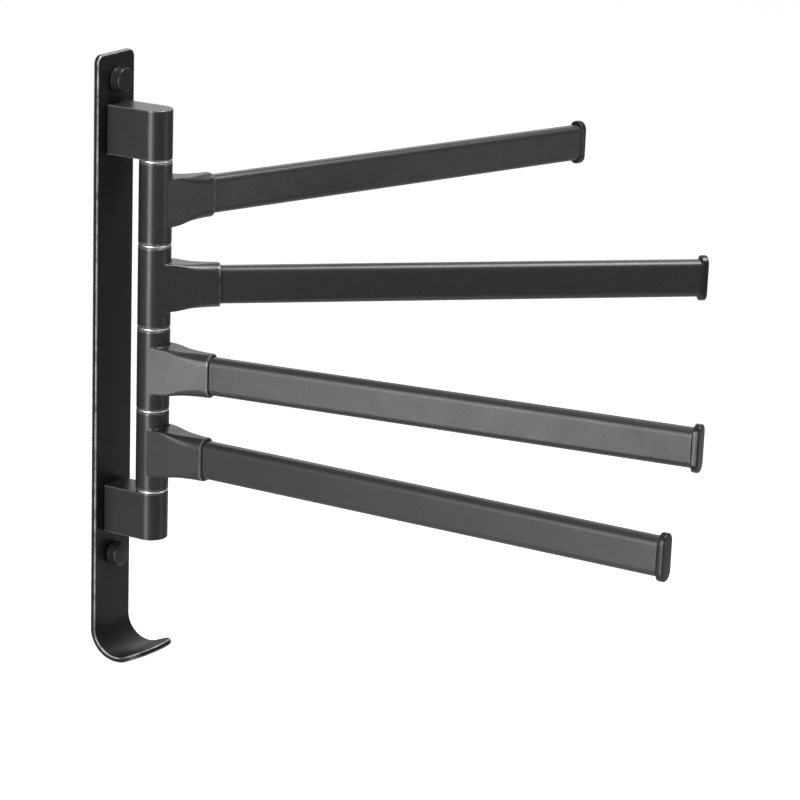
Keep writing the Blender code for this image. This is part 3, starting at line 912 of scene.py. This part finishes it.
def dust_group():
    """Dust: fine specks that lie where the surface faces up, thicker in slow patches."""
    group, given, result = start_group(
        "Settled dust",
        [("Position", "NodeSocketVector", None), ("Normal", "NodeSocketVector", None),
         ("Amount", "NodeSocketFloat", 0.3)],
        ["Mask"])
    split = group.nodes.new("ShaderNodeSeparateXYZ")
    group.links.new(given.outputs["Normal"], split.inputs[0])
    facing = stretch(group, split.outputs["Z"], 0.5, 1.0)
    specks = stretch(group, noise(group, given.outputs["Position"], 0.0006), 0.55, 0.72)
    patches = stretch(group, noise(group, given.outputs["Position"], 0.02), 0.35, 0.7)
    mask = calculate(group, "MULTIPLY", calculate(group, "MULTIPLY", specks, patches), facing)
    mask = calculate(group, "MULTIPLY", mask, given.outputs["Amount"], clamp=True)
    group.links.new(mask, result.inputs["Mask"])
    return group


def touch_group():
    """Finger marks: soft patches a few millimetres across where a surface is handled."""
    group, given, result = start_group(
        "Finger marks",
        [("Position", "NodeSocketVector", None), ("Patch Size", "NodeSocketFloat", 0.012)],
        ["Mask"])
    lumps = noise(group, given.outputs["Position"], given.outputs["Patch Size"], 1.0)
    ridges = noise(group, given.outputs["Position"], 0.0009, 0.0)
    mask = calculate(group, "MULTIPLY", stretch(group, lumps, 0.52, 0.66),
                     stretch(group, ridges, 0.3, 0.7, 0.5, 1.0))
    group.links.new(mask, result.inputs["Mask"])
    return group


grain, wear_and_highlight, dust, touch = grain_group(), wear_and_highlight_group(), dust_group(), touch_group()
print("shader groups:", [group.name for group in bpy.data.node_groups])

# %% [markdown]
# ## The black finishes
#
# Blackened aluminium is nearly black itself, and what the eye sees is mostly a broad, soft
# reflection. The metal pieces share one recipe at different strengths: the castings have the
# coarsest grain, and the strip is the darkest. Each finish is paler on its edges, partly as rubbing
# and partly as a painted highlight; the strip's pale edges paint the brightest line. The plastic of
# caps and covers is blacker and glossier, with only a faint orange peel.

# %% Make the black materials
WHITE_DUST = (0.42, 0.41, 0.39)


def start_material(name):
    """A new material, its nodes, its Principled shader and the position on the object."""
    material = bpy.data.materials.new(name)
    material.use_nodes = True
    tree = material.node_tree
    shader = tree.nodes["Principled BSDF"]
    position = tree.nodes.new("ShaderNodeTexCoord").outputs["Object"]
    return material, tree, shader, position


def use_group(tree, group, **values):
    """Place a group in a material. A word in values names an input, with _ for a space."""
    node = tree.nodes.new("ShaderNodeGroup")
    node.node_tree = group
    for word, value in values.items():
        feed(tree, node.inputs[word.replace("_", " ")], value)
    return node.outputs


def mix_colors(tree, part, first, second):
    """The first color where part is 0, the second where it is 1."""
    node = tree.nodes.new("ShaderNodeMix")
    node.data_type = "RGBA"
    feed(tree, node.inputs[0], part)
    for socket, color in ((node.inputs[6], first), (node.inputs[7], second)):
        feed(tree, socket, color if isinstance(color, bpy.types.NodeSocket) else (*color, 1.0))
    return node.outputs[2]


def bump(tree, shader, height, distance):
    """Tilt the shader's normal by a height that is worth this distance in metres."""
    node = tree.nodes.new("ShaderNodeBump")
    node.inputs["Distance"].default_value = distance
    tree.links.new(height, node.inputs["Height"])
    tree.links.new(node.outputs[0], shader.inputs["Normal"])


def black_material(name, color, wear_and_highlight_color, metallic, roughness, grain_size, grain_depth, wear_and_highlight_amount,
                   specular=0.5):
    """Black with grain, mottle, rubbed edges that also carry a painted highlight, finger marks and dust,
    each at its own strength.
    """
    material, tree, shader, position = start_material(name)
    edge = tree.nodes.new("ShaderNodeAttribute")
    edge.attribute_name = "edge"
    normal = tree.nodes.new("ShaderNodeNewGeometry").outputs["Normal"]
    grained = use_group(tree, grain, Position=position, Grain_Size=grain_size)
    wear_and_highlight_mask = use_group(tree, wear_and_highlight, Position=position, Edge=edge.outputs["Fac"],
                          Amount=wear_and_highlight_amount)["Mask"]
    dusty = use_group(tree, dust, Position=position, Normal=normal, Amount=0.16)["Mask"]
    touched = use_group(tree, touch, Position=position)["Mask"]
    deep = [0.82 * part for part in color]
    pale = [1.25 * part for part in color]
    tone = calculate(tree, "ADD", calculate(tree, "MULTIPLY", grained["Speckle"], 0.7),
                     calculate(tree, "MULTIPLY", grained["Mottle"], 0.3))
    base = mix_colors(tree, tone, deep, pale)
    # Paler on the edges: partly rubbing, partly a painted highlight line.
    base = mix_colors(tree, wear_and_highlight_mask, base, wear_and_highlight_color)
    base = mix_colors(tree, dusty, base, WHITE_DUST)
    tree.links.new(base, shader.inputs["Base Color"])
    rough = stretch(tree, tone, 0.0, 1.0, roughness + 0.03, roughness - 0.03)
    rough = calculate(tree, "SUBTRACT", rough, calculate(tree, "MULTIPLY", touched, 0.02))
    rough = calculate(tree, "SUBTRACT", rough, calculate(tree, "MULTIPLY", wear_and_highlight_mask, 0.12))
    tree.links.new(rough, shader.inputs["Roughness"])
    shader.inputs["Metallic"].default_value = metallic
    shader.inputs["Specular IOR Level"].default_value = specular
    bump(tree, shader, grained["Height"], grain_depth)
    return material


# The edge colours below are painted highlights as well as rubbing; the strip's pale one at 0.9 paints a
# bright line down its edges.
strip_black = black_material("strip_black", (0.009, 0.0091, 0.0095), (0.30, 0.30, 0.305),
                             0.3, 0.40, 0.00035, 0.000014, 0.9, 0.3)
block_black = black_material("block_black", (0.018, 0.0181, 0.0186), (0.16, 0.16, 0.165),
                             0.35, 0.35, 0.00035, 0.000014, 0.7, 0.5)
casting_black = black_material("casting_black", (0.024, 0.0242, 0.025), (0.16, 0.16, 0.165),
                               0.35, 0.34, 0.0005, 0.00002, 0.7, 0.42)
bar_black = black_material("bar_black", (0.023, 0.0232, 0.024), (0.12, 0.12, 0.123),
                           0.35, 0.38, 0.0004, 0.000015, 0.5)
plastic_black = black_material("plastic_black", (0.011, 0.011, 0.0115), (0.03, 0.03, 0.03),
                               0.0, 0.26, 0.0009, 0.000006, 0.3, 0.3)

# %% [markdown]
# ## Bright metal, plain steel and nylon
#
# The washers are turned from stainless steel, so fine grooves run round their rims. Rings at one
# height are the same all the way round, which is why the noise is squashed along z. The screws
# are zinc plated: greyer, with a faint cloudiness, and darker down in the thread.

# %% Make the bright materials and the nylon
def turned_steel():
    """Polished steel with turning lines: noise that changes quickly with height only."""
    material, tree, shader, position = start_material("turned_steel")
    mapping = tree.nodes.new("ShaderNodeMapping")
    mapping.inputs["Scale"].default_value = (0.04, 0.04, 1.0)
    tree.links.new(position, mapping.inputs["Vector"])
    lines = noise(tree, mapping.outputs[0], 0.00008, 3.0)
    clouds = noise(tree, position, 0.004)
    tree.links.new(mix_colors(tree, stretch(tree, clouds, 0.3, 0.7), (0.74, 0.74, 0.75),
                              (0.84, 0.84, 0.84)), shader.inputs["Base Color"])
    tree.links.new(stretch(tree, lines, 0.3, 0.7, 0.30, 0.42), shader.inputs["Roughness"])
    shader.inputs["Metallic"].default_value = 1.0
    bump(tree, shader, lines, 0.000006)
    return material


def zinc_plate():
    """Zinc plating: cloudy grey, rougher in the clouds, with bright crests and dark hollows."""
    material, tree, shader, position = start_material("zinc_plate")
    edge = tree.nodes.new("ShaderNodeAttribute")
    edge.attribute_name = "edge"
    grained = use_group(tree, grain, Position=position, Grain_Size=0.0003)
    crest = use_group(tree, wear_and_highlight, Position=position, Edge=edge.outputs["Fac"], Amount=0.8)["Mask"]
    base = mix_colors(tree, grained["Mottle"], (0.30, 0.30, 0.31), (0.46, 0.46, 0.45))
    base = mix_colors(tree, crest, base, (0.66, 0.66, 0.66))
    tree.links.new(base, shader.inputs["Base Color"])
    tree.links.new(stretch(tree, grained["Mottle"], 0.0, 1.0, 0.30, 0.42), shader.inputs["Roughness"])
    shader.inputs["Metallic"].default_value = 1.0
    bump(tree, shader, grained["Height"], 0.000008)
    return material


def natural_nylon():
    """Nylon: milky and slightly waxy, with faint flow marks from the mould."""
    material, tree, shader, position = start_material("natural_nylon")
    flow = noise(tree, position, 0.003, 4.0)
    tree.links.new(mix_colors(tree, flow, (0.70, 0.68, 0.62), (0.80, 0.79, 0.74)),
                   shader.inputs["Base Color"])
    tree.links.new(stretch(tree, flow, 0.3, 0.7, 0.42, 0.52), shader.inputs["Roughness"])
    bump(tree, shader, flow, 0.00001)
    return material


turned_bright, zinc, nylon = turned_steel(), zinc_plate(), natural_nylon()

# %% [markdown]
# The start of a piece's name says what it is made of, so one short table can dress the whole rack.

# %% Give every piece its finish
finishes = {
    "strip": strip_black, "upper_block": block_black, "lower_block": block_black,
    "hub_casting": casting_black, "flat_bar": bar_black, "moulded_cap": plastic_black,
    "screw_cap": plastic_black, "seat_ring": plastic_black, "bright_washer": turned_bright,
    "grub_screw": zinc, "wall_screw": zinc, "block_screw": zinc, "axle": zinc, "hub_bush": nylon,
}
shown = [piece for piece in bpy.data.objects if piece.type == "MESH" and not piece.hide_render]
for piece in shown:
    finish = next(finishes[start] for start in finishes if piece.name.startswith(start))
    piece.data.materials.clear()
    piece.data.materials.append(finish)
print(len(shown), "pieces have a finish")

# %% [markdown]
# ## Floor, light and camera
#
# A rack hangs on a wall well above the floor, so the floor lies far below it and takes no hard
# shadow. Black metal only shows what it mirrors, so the studio is dim. A tall soft light at the
# left draws the bright line down the column, one beyond the rack is mirrored by the level faces
# and one overhead lights the top edges. The floor glows for the camera alone: it looks pale
# behind the rack, yet the black metal does not mirror that glow.

# %% Lay the floor and set the lights
FLOOR_DROP = 1.0                 # from the rack's lowest point
FLOOR_SIDE = 60.0
FLOOR_GLOW = 0.78


def add_floor():
    """A wide level square under the rack."""
    half = FLOOR_SIDE / 2
    level = cad_low.z - FLOOR_DROP
    x, y = np.meshgrid([-half, half], [-half, half])
    floor = add_piece("floor", [grid(x, y, level)])
    material, tree, shader, position = start_material("pale_floor")
    soft = noise(tree, position, 0.5)
    tree.links.new(mix_colors(tree, soft, (0.80, 0.80, 0.80), (0.84, 0.84, 0.835)),
                   shader.inputs["Base Color"])
    shader.inputs["Roughness"].default_value = 0.9
    shader.inputs["Emission Color"].default_value = (1.0, 1.0, 1.0, 1.0)
    seen = tree.nodes.new("ShaderNodeLightPath").outputs["Is Camera Ray"]
    tree.links.new(calculate(tree, "MULTIPLY", seen, FLOOR_GLOW), shader.inputs["Emission Strength"])
    floor.data.materials.append(material)


def add_light(name, place, aim, width, height, power, color=(1.0, 1.0, 1.0)):
    """A rectangular soft light that faces its aim."""
    data = bpy.data.lights.new(name, "AREA")
    data.shape = "RECTANGLE"
    data.size, data.size_y = width, height
    data.energy = power
    data.color = color
    light = bpy.data.objects.new(name, data)
    light.location = place
    light.rotation_euler = (Vector(aim) - Vector(place)).to_track_quat("-Z", "Y").to_euler()
    bpy.context.scene.collection.objects.link(light)


def set_world(strength):
    """An even pale world: this strong as a light, and white where the camera sees it."""
    world = bpy.data.worlds.new("pale_studio")
    world.use_nodes = True
    tree = world.node_tree
    background = tree.nodes["Background"]
    background.inputs["Color"].default_value = (1.0, 1.0, 1.0, 1.0)
    seen = tree.nodes.new("ShaderNodeLightPath").outputs["Is Camera Ray"]
    tree.links.new(calculate(tree, "MAXIMUM", seen, strength), background.inputs["Strength"])
    bpy.context.scene.world = world


add_floor()
set_world(0.25)
add_light("tall_left", (-2.0, 0.12, 0.2), (0, -0.1, 0), 0.6, 2.2, 55)
add_light("beyond", (2.6, 1.5, 1.3), (0.1, -0.1, 0), 3.0, 1.8, 20)
add_light("overhead", (0.35, -0.75, 1.8), (0.1, -0.15, 0), 1.2, 0.8, 60)
add_light("low_front", (0.9, -3.0, -0.6), (0.1, -0.15, 0), 1.0, 1.6, 8)

# %% [markdown]
# The camera stands to the left of the rack and a little above it, well back and with a long lens,
# so that the bars hardly taper. It is described by its direction, its distance and its aim.

# %% Place the camera
AZIMUTH, ELEVATION, ROLL = radians(61.15), radians(16.78), radians(2.14)
DISTANCE = 1.7631
AIM = Vector((0.1386, -0.112, -0.0622))
LENS = 134.3                     # mm, on a 36 mm sensor


def add_camera():
    """Looks at the aim from the given azimuth and elevation, rolled a little about its own axis."""
    onward = Vector((sin(AZIMUTH) * cos(ELEVATION), cos(AZIMUTH) * cos(ELEVATION), -sin(ELEVATION)))
    level = Vector((cos(AZIMUTH), -sin(AZIMUTH), 0))
    upright = level.cross(onward)
    right = level * cos(ROLL) + upright * sin(ROLL)
    up = upright * cos(ROLL) - level * sin(ROLL)
    data = bpy.data.cameras.new("camera")
    data.lens = LENS
    data.clip_end = 100.0
    camera = bpy.data.objects.new("camera", data)
    turn = Matrix((right, up, -onward)).transposed().to_4x4()
    camera.matrix_world = Matrix.Translation(AIM - onward * DISTANCE) @ turn
    bpy.context.scene.collection.objects.link(camera)
    bpy.context.scene.camera = camera


add_camera()
bpy.context.scene.view_settings.view_transform = "Standard"
